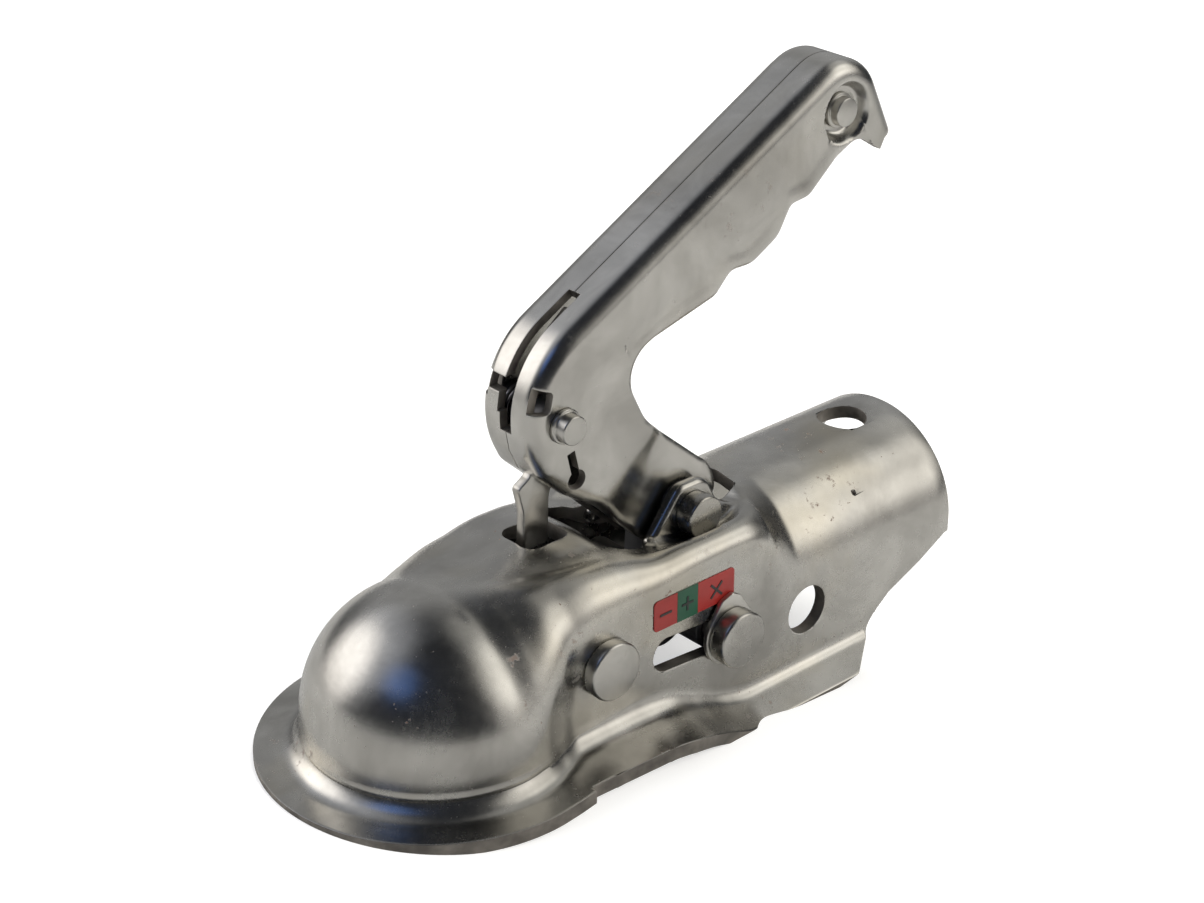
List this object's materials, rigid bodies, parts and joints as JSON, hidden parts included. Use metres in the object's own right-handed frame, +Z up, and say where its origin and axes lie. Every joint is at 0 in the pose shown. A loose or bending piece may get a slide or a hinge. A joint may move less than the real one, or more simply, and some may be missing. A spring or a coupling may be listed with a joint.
{
  "type": "trailer coupling head",
  "caption": "Pressed steel trailer coupling head with a ball cup, a saddle for a round drawbar tube and a raised two-shell handle that closes the jaw.",
  "frame": {"origin": "centre of the towing ball when it is coupled", "axes": "+X along the drawbar, away from the towing vehicle, +Y to the side away from the pointer and label, +Z up"},
  "size_m": [0.2185, 0.097, 0.1762],
  "materials": {
    "zinc_housing": "zinc-plated pressed steel, satin, with rust specks and scratches",
    "zinc_handle": "zinc-plated pressed steel, bright satin",
    "zinc_pins": "zinc-plated turned steel",
    "zinc_plates": "zinc-plated sheet with sheared edges",
    "dark_steel": "dark greased steel",
    "spring_steel": "spring wire",
    "label_red": "printed label, semi-gloss",
    "label_green": "printed label, semi-gloss",
    "label_black": "printed label, semi-gloss"
  },
  "bodies": {
    "housing": {"housing": "zinc_housing", "jaw_pin": "zinc_pins", "jaw_pin_ring": "zinc_pins", "jaw_spacers": "dark_steel", "closing_springs": "spring_steel", "spring_seat": "dark_steel", "pivot_bolt": "zinc_pins", "pivot_ring": "zinc_pins", "label_red_fields": "label_red", "label_green_field": "label_green", "label_signs": "label_black"},
    "handle": {"handle_near_shell": "zinc_handle", "handle_far_shell": "zinc_handle", "top_rivet": "zinc_pins", "grip_spacer": "dark_steel", "lower_rivet": "zinc_pins", "catch_spacers": "dark_steel", "catch_spring": "spring_steel", "pivot_bush": "dark_steel", "crank": "dark_steel"},
    "catch": {"catch": "zinc_plates"},
    "slider": {"indicator_pin": "zinc_pins", "pointer": "zinc_plates", "indicator_pin_ring": "zinc_pins", "pin_sleeves": "dark_steel", "push_frame": "dark_steel"},
    "jaw": {"jaw": "dark_steel"}
  },
  "joints": [
    {"name": "handle_hinge", "type": "hinge", "parent": "housing", "child": "handle", "pos_m": [0.0828, 0, 0.0299], "axis": [0, 1, 0], "range_deg": [0, 35]},
    {"name": "pointer_slide", "type": "slide", "parent": "housing", "child": "slider", "axis": [-0.9976, 0, 0.0698], "range_m": [0, 0.0205], "deforming": ["closing_springs"]},
    {"name": "jaw_hinge", "type": "hinge", "parent": "housing", "child": "jaw", "pos_m": [0.038, 0, 0.006], "axis": [0, 1, 0], "range_deg": [0, 24]},
    {"name": "catch_hinge", "type": "hinge", "parent": "handle", "child": "catch", "pos_m": [0.0394, 0, 0.06915], "axis": [0, 1, 0], "range_deg": [-5, 0], "stiffness_Nm_per_rad": 0.5, "springref_deg": 17.19}
  ],
  "couplings": [
    {"joint": "pointer_slide", "follows": "handle_hinge", "m_per_rad": 0.0335},
    {"joint": "jaw_hinge", "follows": "handle_hinge", "ratio": 0.685}
  ]
}
